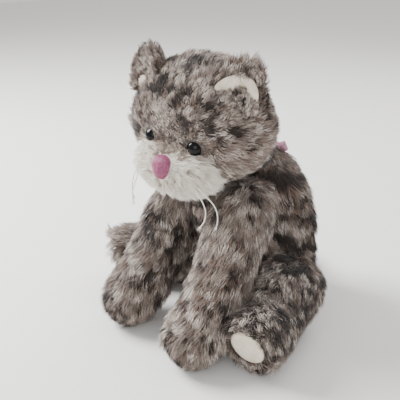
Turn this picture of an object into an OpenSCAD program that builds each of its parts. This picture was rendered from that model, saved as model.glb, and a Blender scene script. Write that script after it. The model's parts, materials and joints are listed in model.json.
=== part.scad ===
// Sitting plush cat with a swivel neck, swivel shoulders and swivel hips.
// Millimetres. +Z is up, the cat faces -Y and its left side is +X.
// The origin is the middle of the seat, on the surface that the cat sits on.
// Each soft body is a fabric shell round its own stuffing. The pile stands outside these solids.

/* [Torso] */
// Half width of the torso at its widest
torso_half_w = 50; // [42:1:60]
// Half depth of the torso at its deepest
torso_half_d = 53; // [44:1:64]
// Height of the neck joint above the seat
neck_z = 150; // [136:1:170]
// Lean of the neck towards the front, degrees
neck_lean = 20; // [10:1:28]

/* [Head] */
// Half width of the head
head_half_w = 60; // [46:1:68]
// Half depth of the head
head_half_d = 44; // [37:1:53]
// Half height of the head
head_half_h = 51; // [44:1:62]
// Turn of the head at rest, degrees
head_turn = 15; // [0:1:16]
// Sideways tilt of the head at rest, degrees
head_tilt = 4; // [0:1:6]
// Half width of the muzzle
muzzle_half_w = 33; // [26:1:40]
// Radius of an eye
eye_r = 7; // [5:0.5:9]
// Width of the nose
nose_w = 20; // [14:1:26]
// Width of an ear
ear_w = 40; // [30:1:46]
// Height of an ear above its root
ear_h = 28; // [20:1:32]

/* [Limbs] */
// Thickness scale of the arms
arm_girth = 1.0; // [0.85:0.01:1.2]
// Thickness scale of the legs
leg_girth = 1.0; // [0.85:0.01:1.2]
// Toe-out of the left arm, degrees
left_arm_toe = 9; // [0:1:12]
// Toe-in of the right arm, degrees
right_arm_toe = 6; // [0:1:16]
// Splay of the right leg, degrees
right_leg_splay = 9; // [0:1:16]

/* [Fabric and joints] */
// Thickness of the fabric shells
fabric_t = 2.5; // [2:0.1:3.5]
// Gap between two fabric faces at a joint
joint_gap = 1; // [0.6:0.1:2]
// Radius of the joint discs in the shoulders
arm_disc_r = 13; // [11:0.5:15]
// Radius of the joint discs in the hips
leg_disc_r = 16; // [13:0.5:19]
// Radius of the joint disc in the neck
neck_disc_r = 18; // [15:0.5:20]
// Thickness of a joint disc and of its washer
disc_t = 3; // [2:0.1:4]
// Radius of a joint's stem
stem_r = 4; // [3:0.1:5]

/* [Trim] */
// Width of the collar ribbon
collar_w = 5; // [3:0.5:6]
// Diameter of a whisker thread
whisker_d = 1; // [0.8:0.1:1.4]

/* [Hidden] */

sides = 18;          // facets round a soft body
steps = 2;           // rings for each hand-set station of a soft body
reach = 400;         // larger than the cat, for half-space cuts
sew_gap = 0.3;       // between a fabric shell and the stuffing inside it
run_gap = 0.05;      // radial, between a stem and what turns round it
lock_t = 2.6;        // thickness of a lock ring
shank_r = 2;         // shank of an eye
lock_r = 8;          // outer radius of a lock ring
floor_gap = 0.5;     // arms and legs clear of the plane of the seat
arm_floor = 1;       // the arms hang a little higher than the legs lie
pad_t = 1.6;         // suede of a paw or foot pad
ear_bend = 28;       // radius that an ear is cupped to

fur = [0.58, 0.53, 0.49];
fur_dark = [0.25, 0.21, 0.19];
cream = [0.88, 0.84, 0.76];
white_fur = [0.9, 0.88, 0.83];
fibre = [0.95, 0.95, 0.94];
joint_plastic = [0.85, 0.83, 0.78];
pink = [0.67, 0.36, 0.5];

// Joint centres and frames. A shoulder or hip plane is x = 0 in its own frame, with the limb on its +x side.
neck_at = [0, -46, neck_z];
head_at = [0, -72, neck_z + 45];
shoulder_at = [24, -53, 118];
hip_at = [38, -16, 40];
// Middle and half sizes of the muzzle in the head's own frame
muzzle_at = [0, -31, -32];
muzzle_half = [muzzle_half_w, 23, 22];

// Soft body stations: x, y, z of the centre, half size across, half size the other way
torso_stations = [
    [0, -2, -8, 0.72, 0.72], [0, -2, 4, 0.87, 0.87], [0, -2, 25, 0.98, 0.97], [0, -3, 50, 1, 1],
    [0, -5, 75, 0.98, 1], [0, -13, 98, 0.94, 1.06], [0, -22, 120, 0.86, 1.11],
    [0, -28, 138, 0.72, 0.98], [0, -31, 150, 0.6, 0.84], [0, -35, 166, 0.46, 0.62]];
// Heights and half sizes of the head as shares of its own half sizes, from its middle
head_stations = [
    [0, 10, -1.02, 0.34, 0.46], [0, 9, -0.87, 0.6, 0.8], [0, 5, -0.62, 0.86, 0.98], [0, 0, -0.3, 0.98, 1],
    [0, -1, 0, 1, 1], [0, 0, 0.3, 0.95, 0.97], [0, 1, 0.6, 0.8, 0.83], [0, 2, 0.84, 0.55, 0.58],
    [0, 2, 0.99, 0.22, 0.24]];
// Left arm, from the top of the shoulder to the toes
arm_stations = [
    [36, -47, 140, 8, 8], [36, -49, 134, 15, 17], [37, -55, 119, 20, 23.5], [39, -72, 98, 19.5, 23],
    [41, -86, 78, 19, 22], [42, -99, 57, 19.5, 21], [43, -112, 39, 21, 21.5], [43, -125, 25.5, 22, 21.5],
    [43, -138, 21, 18, 18], [43, -145, 19.5, 8, 8]];
// Left leg, from the seat to the sole
leg_stations = [
    [54, 10, 32, 8, 8], [55, 4, 34, 20, 19], [57, -13, 37, 28, 29], [61, -30, 36, 28, 29],
    [72, -50, 32, 25, 26], [83, -67, 30, 22.5, 24], [92, -82, 31.5, 22, 23.5], [97, -94, 33, 21.5, 23],
    [100, -103, 30.5, 19.5, 20.5]];
// Tail, from the seam low on the back round to the right
tail_stations = [
    [-8, 43, 18, 9, 9], [-12, 57, 17, 12, 12], [-26, 71, 16.5, 13, 13], [-47, 76, 16, 13, 13],
    [-66, 70, 15, 12, 12], [-80, 58, 14.5, 10, 10], [-88, 47, 14, 6, 6]];

// A whisker's root in the wall of the muzzle, as shares of the muzzle's half sizes from its middle, and the way
// the left thread hangs from that root. Both are in the head's own frame, and the right whiskers mirror them.
whisker_inner_root = [0.7, -0.66, -0.04];
whisker_inner = [
    [0, 0, 0], [2.3, -1.4, -2.6], [4.6, -1.3, -5.9], [6.6, -0.1, -9.2], [8.7, 1.2, -12.5],
    [10.7, 2.6, -15.9], [12.7, 3.6, -19.3], [14.3, 4.2, -22.7], [15.7, 4.4, -26.1], [16.4, 4, -29.5],
    [16.6, 3.4, -32.5], [16.2, 2.8, -35.4], [15.2, 2, -38.1], [14, 1.4, -40.5]];
whisker_outer_root = [0.765, -0.55, -0.055];
whisker_outer = [
    [0, 0, 0], [3.3, -2.1, -2.6], [5.8, -2.1, -5.3], [8.1, -0.9, -8.3], [10.8, 0.5, -11.3],
    [13.4, 2.4, -14.2], [15.7, 4.3, -17], [17.8, 5.9, -20.1], [19.6, 7.1, -23.5], [20.9, 7.9, -27.2],
    [21.7, 8.1, -30.8], [21.8, 8.4, -34.6], [21.4, 8.6, -38.2], [20.5, 8.7, -41.2]];

function unit(v) = v / norm(v);
function xyz(s) = [s[0], s[1], s[2]];

// Catmull-Rom point between b and c
function between(a, b, c, d, t) =
    0.5 * (2 * b + (c - a) * t + (2 * a - 5 * b + 4 * c - d) * t * t + (3 * b - a - 3 * c + d) * t * t * t);
function smoothed(s) = let(last = len(s) - 1) [
    for (i = [0:last - 1], j = [0:steps - 1])
        between(s[max(i - 1, 0)], s[i], s[i + 1], s[min(i + 2, last)], j / steps),
    s[last]];
function along(s, i) = unit(xyz(s[min(i + 1, len(s) - 1)]) - xyz(s[max(i - 1, 0)]));
function ring(c, u, v, a, b, n) =
    [for (k = [0:n - 1]) c + u * a * cos(360 * k / n) + v * b * sin(360 * k / n)];
function loft_faces(m, n) = [
    for (i = [0:m - 2], k = [0:n - 1]) let(p = 1 + i * n + k, q = 1 + i * n + (k + 1) % n) [p, p + n, q + n],
    for (i = [0:m - 2], k = [0:n - 1]) let(p = 1 + i * n + k, q = 1 + i * n + (k + 1) % n) [p, q + n, q],
    for (k = [0:n - 1]) [0, 1 + k, 1 + (k + 1) % n],
    for (k = [0:n - 1]) let(top = 1 + (m - 1) * n) [m * n + 1, top + (k + 1) % n, top + k]];

// A closed body through the stations, all faces inset by the same distance. Level bodies keep their rings
// flat, and a station's first radius lies along across.
module loft(stations, inset = 0, level = false, n = sides, across = [1, 0, 0]) {
    s = smoothed(stations);
    last = len(s) - 1;
    frames = [for (i = [0:last])
        let(t = level ? [0, 0, 1] : along(s, i), u = unit(across - t * (t * across)),
            shift = i == 0 ? inset : i == last ? -inset : 0)
        [xyz(s[i]) + t * shift, u, cross(t, u), max(s[i][3] - inset, 1), max(s[i][4] - inset, 1)]];
    rings = [for (f = frames) each ring(f[0], f[1], f[2], f[3], f[4], n)];
    polyhedron(concat([frames[0][0]], rings, [frames[last][0]]), loft_faces(last + 1, n), convexity = 6);
}

module tube(points, d, n = 8) {
    last = len(points) - 1;
    rings = [for (i = [0:last])
        let(t = along(points, i), u = unit([0, 1, 0] - t * t[1]), v = cross(t, u))
        each ring(points[i], u, v, d / 2, d / 2, n)];
    polyhedron(concat([points[0]], rings, [points[last]]), loft_faces(last + 1, n), convexity = 4);
}

// Frames
module on_side(side) { if (side > 0) children(); else mirror([1, 0, 0]) children(); }
module at_neck() { translate(neck_at) rotate([neck_lean, 0, 0]) children(); }
module at_shoulder(side) {
    on_side(side) translate(shoulder_at) rotate([0, 0, side > 0 ? left_arm_toe : -right_arm_toe]) children();
}
module at_hip(side) {
    on_side(side) translate(hip_at) rotate([0, 0, side > 0 ? 0 : right_leg_splay]) children();
}
module at_head() { translate(head_at) rotate([0, head_tilt, head_turn]) children(); }
module x_axis() { rotate([0, 90, 0]) children(); }
module beyond_x(x) { translate([x, -reach / 2, -reach / 2]) cube(reach); }
module above_z(z) { translate([-reach / 2, -reach / 2, z]) cube(reach); }

// Soft body forms
module torso_form(inset = 0) {
    scaled = [for (s = torso_stations)
        [s[0], s[1], s[2] * neck_z / 150, s[3] * torso_half_w, s[4] * torso_half_d]];
    difference() {
        loft(scaled, inset, level = true, n = 24);
        mirror([0, 0, 1]) above_z(-inset);
        at_neck() above_z(-joint_gap / 2 - inset);
        for (side = [1, -1]) {
            at_shoulder(side) x_axis() translate([0, 0, -joint_gap / 2 - inset])
                cylinder(r1 = arm_disc_r + 21 - inset / 2, r2 = arm_disc_r + 71, h = 50, $fn = 48);
            at_hip(side) beyond_x(-joint_gap / 2 - inset);
        }
    }
}
module head_form(inset = 0) {
    scaled = [for (s = head_stations)
        [s[0], s[1], s[2] * head_half_h, s[3] * head_half_w, s[4] * head_half_d]];
    difference() {
        at_head() loft(scaled, inset, level = true, n = 24);
        at_neck() mirror([0, 0, 1]) above_z(-joint_gap / 2 - inset);
    }
}
module arm_form(side, inset = 0, face = 0) {
    local = [for (s = arm_stations)
        [each xyz(s) - shoulder_at, s[3] * arm_girth, s[4] * arm_girth]];
    at_shoulder(side) intersection() {
        loft(local, inset);
        beyond_x(joint_gap / 2 + inset + face);
        above_z(arm_floor + inset - shoulder_at[2]);
    }
}
module leg_form(side, inset = 0, face = 0) {
    local = [for (s = leg_stations)
        [s[0] - hip_at[0], s[1] - hip_at[1], s[2] - hip_at[2], s[3] * leg_girth, s[4] * leg_girth]];
    at_hip(side) intersection() {
        loft(local, inset);
        beyond_x(joint_gap / 2 + inset + face);
        above_z(floor_gap + inset - hip_at[2]);
    }
}
module muzzle_form(inset = 0) {
    at_head() translate(muzzle_at) scale([for (half = muzzle_half) half - inset]) sphere(r = 1, $fn = 96);
}

// Joint hardware, in a frame whose z axis leaves the torso through z = 0
module stem_hole() { translate([0, 0, -30]) cylinder(r = stem_r + run_gap, h = 60, $fn = 48); }
module disc(r) {
    inner = joint_gap / 2 + fabric_t;
    translate([0, 0, inner]) cylinder(r = r, h = disc_t, $fn = 64);
    translate([0, 0, -inner - disc_t - lock_t - 1.5])
        cylinder(r = stem_r, h = 2 * inner + disc_t + lock_t + 1.5 + disc_t / 2, $fn = 48);
}
module washer(r) {
    translate([0, 0, -joint_gap / 2 - fabric_t - disc_t]) difference() {
        cylinder(r = r, h = disc_t, $fn = 64);
        translate([0, 0, -1]) cylinder(r = stem_r + run_gap, h = disc_t + 2, $fn = 48);
    }
}
module lock_ring() {
    translate([0, 0, -joint_gap / 2 - fabric_t - disc_t - 0.1 - lock_t]) difference() {
        cylinder(r = lock_r, h = lock_t, $fn = 48);
        translate([0, 0, -1]) cylinder(r = stem_r, h = lock_t + 2, $fn = 48);
    }
}
// Room for a washer, its lock ring and the stem's end inside the torso's stuffing
module washer_room(r) {
    depth = disc_t + lock_t + 2.5;
    translate([0, 0, -joint_gap / 2 - fabric_t - depth]) cylinder(r = r + 0.5, h = depth + 20, $fn = 48);
}

module torso_skin() {
    color(fur) difference() {
        torso_form();
        torso_form(fabric_t);
        at_neck() stem_hole();
        for (side = [1, -1]) {
            at_shoulder(side) x_axis() stem_hole();
            at_hip(side) x_axis() stem_hole();
        }
    }
}
module torso_stuffing() {
    color(fibre) difference() {
        torso_form(fabric_t + sew_gap);
        at_neck() washer_room(neck_disc_r);
        for (side = [1, -1]) {
            at_shoulder(side) x_axis() washer_room(arm_disc_r);
            at_hip(side) x_axis() washer_room(leg_disc_r);
        }
        pellet_form(sew_gap);
    }
}
module pellet_form(grow = 0) {
    translate([0, 8, 22]) scale([25 + grow, 28 + grow, 14 + grow]) sphere(r = 1, $fn = 32);
}
module pellet_bag() { color("lightgray") pellet_form(); }

module tail_skin() {
    color(fur) difference() {
        loft(tail_stations, n = 14, across = [0, 0, 1]);
        loft(tail_stations, fabric_t, n = 14, across = [0, 0, 1]);
        torso_form(-sew_gap);
    }
}
module tail_stuffing() {
    color(fibre) difference() {
        loft(tail_stations, fabric_t + sew_gap, n = 14, across = [0, 0, 1]);
        torso_form(-sew_gap);
    }
}

module collar_ribbon() {
    color(fur_dark) difference() {
        intersection() {
            torso_form(-1.6);
            at_neck() translate([-reach / 2, -reach / 2, -joint_gap - collar_w])
                cube([reach, reach, collar_w]);
        }
        torso_form(-sew_gap);
    }
}
module collar_bow() {
    color(pink) at_neck() translate([7, 53.5, -6.5]) rotate([16, 0, -8]) {
        scale([4, 3.4, 4.4]) sphere(r = 1, $fn = 24);
        for (side = [1, -1]) scale([side, 1, 1]) {
            translate([8.5, 0.5, 1.5]) rotate([0, -14, 0]) scale([7, 3, 5.6]) sphere(r = 1, $fn = 24);
            translate([5, 0.5, -8]) rotate([0, 30, 0]) translate([-2.8, -0.7, -7]) cube([5.6, 1.4, 12]);
        }
    }
}

module head_skin() {
    color(fur) difference() {
        head_form();
        head_form(fabric_t);
        at_neck() stem_hole();
        for (side = [1, -1]) at_eye(side) shank_hole();
    }
}
module head_stuffing() {
    color(fibre) difference() {
        head_form(fabric_t + sew_gap);
        at_neck() cylinder(r = neck_disc_r + 0.5, h = joint_gap / 2 + fabric_t + disc_t + 0.5, $fn = 48);
        for (side = [1, -1]) at_eye(side) eye_washer_room();
    }
}
module muzzle_skin() {
    color(white_fur) difference() {
        muzzle_form();
        muzzle_form(fabric_t);
        head_form(-sew_gap);
    }
}
module muzzle_stuffing() {
    color(fibre) difference() {
        muzzle_form(fabric_t + sew_gap);
        head_form(-sew_gap);
    }
}
module nose() {
    color(pink) difference() {
        at_head() intersection() {
            translate([0, -48, -29]) rotate([-106, 0, 0]) translate([0, 0, -7])
                linear_extrude(14) nose_outline();
            translate([0, -30, -31]) scale([27, 28, 28]) sphere(r = 1, $fn = 96);
        }
        muzzle_form(-0.1);
    }
}
// Rounded triangle, point down
module nose_outline() {
    hull() {
        for (side = [1, -1]) translate([side * (nose_w / 2 - 3.5), -4.5]) circle(r = 3.5, $fn = 24);
        translate([0, 6]) circle(r = 4, $fn = 24);
    }
}

// Eyes: a glossy dome, its shank through the fabric and a toothed washer behind
module at_eye(side) {
    at_head() on_side(side) translate([21.5, -37, -10.5]) rotate([90, 0, 0]) rotate([0, 22, 0]) children();
}
module shank_hole() {
    translate([0, 0, -20]) cylinder(r = shank_r + run_gap, h = 20, $fn = 24);
    cylinder(r = eye_r + 0.1, h = 20, $fn = 48);
}
module eye_washer_room() {
    translate([0, 0, -16]) cylinder(r = 6.6, h = 16, $fn = 32);
    cylinder(r = eye_r + 0.5, h = 20, $fn = 32);
}
module eye(side) {
    color("black") at_eye(side) {
        intersection() {
            translate([0, 0, 1]) sphere(r = eye_r, $fn = 48);
            cylinder(r = eye_r, h = 20, $fn = 48);
        }
        translate([0, 0, -14]) cylinder(r = shank_r, h = 14.5, $fn = 24);
    }
}
module eye_washer(side) {
    color(joint_plastic) at_eye(side) translate([0, 0, -10]) difference() {
        cylinder(r = 6, h = 1.2, $fn = 32);
        translate([0, 0, -1]) cylinder(r = shank_r, h = 4, $fn = 24);
    }
}

// Ears: a furry back shell and a plush lining, both cut where they meet the head
module at_ear(side) {
    at_head() on_side(side) translate([41, -13, 29]) rotate([0, 36, 0]) rotate([0, 0, 10]) rotate([-2, 0, 0])
        children();
}
module ear_outline(inset = 0) {
    offset(r = 5 - inset, $fn = 32) polygon([
        [-ear_w / 2 + 5, -8], [ear_w / 2 - 5, -8], [ear_w / 2 - 9, ear_h * 0.55], [3, ear_h - 5],
        [-3, ear_h - 5], [-ear_w / 2 + 9, ear_h * 0.55]]);
}
module ear_shell(side, outer, inner, inset) {
    difference() {
        at_ear(side) intersection() {
            rotate([90, 0, 0]) translate([0, 0, -10]) linear_extrude(30) ear_outline(inset);
            translate([0, -ear_bend, 0]) difference() {
                cylinder(r = ear_bend + outer, h = 160, center = true, $fn = 64);
                cylinder(r = ear_bend + inner, h = 170, center = true, $fn = 64);
            }
            translate([-30, -16, -30]) cube([60, 30, 90]);
        }
        head_form(-sew_gap);
    }
}
module ear(side) { color(fur) ear_shell(side, 4, 0, 0); }
module ear_lining(side) { color(cream) ear_shell(side, -0.1, -1.9, 3); }

// Whiskers
function whisker_points(root, route) =
    [for (p = route) muzzle_at + p + [for (i = [0:2]) root[i] * muzzle_half[i]]];
module whisker(side, root, route) {
    color("white") at_head() on_side(side) tube(whisker_points(root, route), whisker_d);
}
module whisker_knots() {
    routes = [
        whisker_points(whisker_inner_root, whisker_inner), whisker_points(whisker_outer_root, whisker_outer)];
    color("white") at_head() for (side = [1, -1], points = routes) on_side(side) {
        last = len(points) - 1;
        translate(points[last] + unit(points[last] - points[last - 1]) * whisker_d)
            sphere(r = whisker_d, $fn = 16);
    }
}

module arm_skin(side) {
    color(fur) difference() {
        arm_form(side);
        arm_form(side, fabric_t);
        at_shoulder(side) x_axis() stem_hole();
        paw_pad_form(side, -0.05);
    }
}
module arm_stuffing(side) { color(fibre) arm_form(side, fabric_t + sew_gap, disc_t + 0.3); }
// Sole pad set into the underside of the paw, just clear of what the cat sits on
module paw_pad_form(side, inset = 0) {
    at_shoulder(side) translate([43, -122, arm_floor - 0.2] - shoulder_at)
        linear_extrude(pad_t + 0.2) scale([11 - inset, 13 - inset]) circle(r = 1, $fn = 40);
}
module paw_pad(side) {
    color(cream) intersection() {
        paw_pad_form(side);
        at_shoulder(side) above_z(arm_floor - shoulder_at[2]);
    }
}

module leg_skin(side) {
    color(fur) difference() {
        leg_form(side);
        leg_form(side, fabric_t);
        at_hip(side) x_axis() stem_hole();
    }
}
module leg_stuffing(side) { color(fibre) leg_form(side, fabric_t + sew_gap, disc_t + 0.3); }
// The sole: an oval pad over the end of the foot
module foot_pad(side) {
    line = smoothed(leg_stations);
    tip = line[len(line) - 1];
    way = along(line, len(line) - 1);
    color(cream) at_hip(side) translate(xyz(tip) - hip_at)
        rotate([90 - asin(way[2]), 0, atan2(way[0], -way[1])])
        translate([0, 2, sew_gap]) scale([15 * leg_girth, 17 * leg_girth, 1])
        linear_extrude(pad_t) circle(r = 1, $fn = 40);
}

torso_skin();
torso_stuffing();
pellet_bag();
tail_skin();
tail_stuffing();
collar_ribbon();
collar_bow();
head_skin();
head_stuffing();
muzzle_skin();
muzzle_stuffing();
nose();
eye(1);  // left_eye
eye(-1);  // right_eye
eye_washer(1);  // left_eye_washer
eye_washer(-1);  // right_eye_washer
ear(1);  // left_ear
ear(-1);  // right_ear
ear_lining(1);  // left_ear_lining
ear_lining(-1);  // right_ear_lining
whisker(1, whisker_inner_root, whisker_inner);  // left_whisker_inner
whisker(1, whisker_outer_root, whisker_outer);  // left_whisker_outer
whisker(-1, whisker_inner_root, whisker_inner);  // right_whisker_inner
whisker(-1, whisker_outer_root, whisker_outer);  // right_whisker_outer
whisker_knots();
color(joint_plastic) at_neck() disc(neck_disc_r);  // neck_disc
color(joint_plastic) at_neck() washer(neck_disc_r);  // neck_washer
color(joint_plastic) at_neck() lock_ring();  // neck_lock
color(joint_plastic) at_shoulder(1) x_axis() disc(arm_disc_r);  // left_shoulder_disc
color(joint_plastic) at_shoulder(1) x_axis() washer(arm_disc_r);  // left_shoulder_washer
color(joint_plastic) at_shoulder(1) x_axis() lock_ring();  // left_shoulder_lock
color(joint_plastic) at_shoulder(-1) x_axis() disc(arm_disc_r);  // right_shoulder_disc
color(joint_plastic) at_shoulder(-1) x_axis() washer(arm_disc_r);  // right_shoulder_washer
color(joint_plastic) at_shoulder(-1) x_axis() lock_ring();  // right_shoulder_lock
color(joint_plastic) at_hip(1) x_axis() disc(leg_disc_r);  // left_hip_disc
color(joint_plastic) at_hip(1) x_axis() washer(leg_disc_r);  // left_hip_washer
color(joint_plastic) at_hip(1) x_axis() lock_ring();  // left_hip_lock
color(joint_plastic) at_hip(-1) x_axis() disc(leg_disc_r);  // right_hip_disc
color(joint_plastic) at_hip(-1) x_axis() washer(leg_disc_r);  // right_hip_washer
color(joint_plastic) at_hip(-1) x_axis() lock_ring();  // right_hip_lock
arm_skin(1);  // left_arm_skin
arm_stuffing(1);  // left_arm_stuffing
paw_pad(1);  // left_paw_pad
arm_skin(-1);  // right_arm_skin
arm_stuffing(-1);  // right_arm_stuffing
paw_pad(-1);  // right_paw_pad
leg_skin(1);  // left_leg_skin
leg_stuffing(1);  // left_leg_stuffing
foot_pad(1);  // left_foot_pad
leg_skin(-1);  // right_leg_skin
leg_stuffing(-1);  // right_leg_stuffing
foot_pad(-1);  // right_foot_pad
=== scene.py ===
import json
import math

import bmesh
import bpy
import numpy as np
from mathutils import Matrix, Vector
from mathutils.bvhtree import BVHTree

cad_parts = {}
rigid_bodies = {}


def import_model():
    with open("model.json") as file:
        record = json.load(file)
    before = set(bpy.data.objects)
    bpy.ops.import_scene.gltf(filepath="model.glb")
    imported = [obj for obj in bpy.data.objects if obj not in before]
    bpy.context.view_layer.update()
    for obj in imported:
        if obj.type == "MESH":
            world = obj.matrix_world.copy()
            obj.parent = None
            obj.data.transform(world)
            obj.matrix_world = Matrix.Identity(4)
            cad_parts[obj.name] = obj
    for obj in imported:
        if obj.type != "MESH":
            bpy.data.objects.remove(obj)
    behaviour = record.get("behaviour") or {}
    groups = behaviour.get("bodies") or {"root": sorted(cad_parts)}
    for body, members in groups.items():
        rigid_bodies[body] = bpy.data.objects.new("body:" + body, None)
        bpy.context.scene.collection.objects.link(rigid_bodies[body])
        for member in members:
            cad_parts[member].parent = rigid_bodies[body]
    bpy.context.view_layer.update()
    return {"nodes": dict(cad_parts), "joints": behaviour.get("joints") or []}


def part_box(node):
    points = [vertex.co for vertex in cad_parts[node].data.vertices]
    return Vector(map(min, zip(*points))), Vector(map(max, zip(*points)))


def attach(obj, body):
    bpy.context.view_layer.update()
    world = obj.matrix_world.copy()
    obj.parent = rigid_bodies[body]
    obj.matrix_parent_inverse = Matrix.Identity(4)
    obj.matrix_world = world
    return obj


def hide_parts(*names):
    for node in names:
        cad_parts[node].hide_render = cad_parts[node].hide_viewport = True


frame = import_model()

MM = 0.001
UP = np.array([0.0, 0.0, 1.0])
SEED = 7
FLOOR_CLEAR = 0.4 * MM

NODES = frame["nodes"]
JOINTS = {j["name"]: j for j in frame["joints"]}
LIMBS = ("left_arm", "right_arm", "left_leg", "right_leg")
SIDES = ("left", "right")


# ---------------------------------------------------------------- camera

def make_camera():
    target = Vector((-18.5, -60, 112)) * MM
    azimuth, elevation = math.radians(52), math.radians(22)
    back = Vector((
        math.sin(azimuth) * math.cos(elevation), -math.cos(azimuth) * math.cos(elevation), math.sin(elevation)))
    data = bpy.data.cameras.new("camera")
    data.lens = 60
    data.sensor_width = 36
    data.clip_start = 0.01
    camera = bpy.data.objects.new("camera", data)
    camera.location = target + back * 0.62
    camera.rotation_euler = back.to_track_quat("Z", "Y").to_euler()
    bpy.context.scene.collection.objects.link(camera)
    bpy.context.scene.camera = camera


make_camera()


# ---------------------------------------------------------------- small tools

def unit(v):
    v = np.asarray(v, float)
    return v / np.maximum(np.linalg.norm(v, axis=-1, keepdims=True), 1e-12)


def points_of(obj):
    co = np.zeros(len(obj.data.vertices) * 3)
    obj.data.vertices.foreach_get("co", co)
    return co.reshape(-1, 3)


def add_mesh(name, verts, faces, materials, smooth=True, face_materials=None):
    mesh = bpy.data.meshes.new(name)
    mesh.from_pydata([tuple(v) for v in verts], [], [tuple(f) for f in faces])
    for material in materials:
        mesh.materials.append(material)
    if smooth:
        mesh.shade_smooth()
    if face_materials is not None:
        mesh.polygons.foreach_set("material_index", face_materials)
    mesh.validate()
    obj = bpy.data.objects.new(name, mesh)
    bpy.context.scene.collection.objects.link(obj)
    return obj


def band_faces(rows, segments, flip=False):
    """Quads of a band of closed rings that follow each other, each of the same number of points."""
    faces = []
    for i in range(rows):
        for k in range(segments):
            j = (k + 1) % segments
            quad = [(i + di) * segments + kk for di, kk in ((0, k), (0, j), (1, j), (1, k))]
            faces.append(tuple([quad[0], *reversed(quad[1:])] if flip else quad))
    return faces


def turned_outwards(obj, merge=0.0):
    bm = bmesh.new()
    bm.from_mesh(obj.data)
    if merge:
        bmesh.ops.remove_doubles(bm, verts=bm.verts, dist=merge)
    bmesh.ops.recalc_face_normals(bm, faces=bm.faces)
    bm.to_mesh(obj.data)
    bm.free()


def applied(obj):
    """The object with its modifiers turned into mesh."""
    evaluated = obj.evaluated_get(bpy.context.evaluated_depsgraph_get())
    mesh = bpy.data.meshes.new_from_object(evaluated)
    obj.modifiers.clear()
    obj.data = mesh
    return obj


def piece(obj, body, slot, *nodes):
    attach(obj, body)
    if nodes:
        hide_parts(*nodes)
    return obj


def noise(p, cell, seed):
    """Smooth random values from 0 to 1 at the points, with bumps about a cell apart."""
    q = np.asarray(p) / cell
    low = np.floor(q).astype(np.int64)
    f = q - low
    f = f * f * (3 - 2 * f)
    total = np.zeros(len(q))
    for corner in range(8):
        step = np.array([corner & 1, corner >> 1 & 1, corner >> 2 & 1])
        key = (low + step) * np.array([73856093, 19349663, 83492791])
        h = (key[:, 0] ^ key[:, 1] ^ key[:, 2]) + seed * 7919
        h = (h ^ (h >> 13)) * 1274126177 & 0x7FFFFFFF
        h = (h ^ (h >> 16)) * 2246822519 & 0x7FFFFFFF
        weight = np.prod(np.where(step, f, 1 - f), axis=1)
        total += weight * (h / 0x7FFFFFFF)
    return total


def tangent(v, n):
    return unit(v - n * np.sum(v * n, axis=1, keepdims=True))


def side_of(side):
    return 1 if side == "left" else -1


def line_distance(p, point, way):
    d = p - point
    return np.linalg.norm(d - np.outer(d @ way, way), axis=1)


# ---------------------------------------------------------------- the head's own frame

def centre(node):
    return points_of(NODES[node]).mean(0)


def eye_line(side):
    """A point on the eye's own axis, and the way it looks."""
    washer, eye = centre(side + "_eye_washer"), centre(side + "_eye")
    return eye, unit(eye - washer)


HEAD_X = unit(centre("left_eye") - centre("right_eye"))
HEAD_LOW, HEAD_HIGH = (np.array(c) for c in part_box("head_skin"))
HEAD_CENTRE = (HEAD_LOW + HEAD_HIGH) / 2
HEAD_FRONT = unit(np.cross(HEAD_X, UP))
HEAD_UP = np.cross(-HEAD_FRONT, HEAD_X) * -1
NOSE_CENTRE = sum(np.array(c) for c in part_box("nose")) / 2


def in_head(p):
    """Places in the head's own axes from its middle, in millimetres: to its left, forward and up."""
    d = (np.asarray(p) - HEAD_CENTRE) / MM
    return np.stack([d @ HEAD_X, d @ HEAD_FRONT, d @ HEAD_UP], axis=-1)


# ---------------------------------------------------------------- materials

def srgb(*rgb):
    return tuple((c / 255 / 12.92) if c <= 10 else ((c / 255 + 0.055) / 1.055) ** 2.4 for c in rgb) + (1.0,)


def new_material(name, rgb, roughness=0.6, **sockets):
    material = bpy.data.materials.new(name)
    material.use_nodes = True
    shader = material.node_tree.nodes["Principled BSDF"]
    shader.inputs["Base Color"].default_value = srgb(*rgb)
    shader.inputs["Roughness"].default_value = roughness
    for socket, value in sockets.items():
        shader.inputs[socket.replace("_", " ")].default_value = value
    material.diffuse_color = srgb(*rgb)
    return material


def pile_materials(name, shades):
    """One material for each shade of the pile's hairs."""
    return [
        new_material(f"{name}_{i + 1}", rgb, 0.62, Sheen_Weight=0.22, Sheen_Roughness=0.45, Specular_IOR_Level=0.3)
        for i, rgb in enumerate(shades)]


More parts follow.
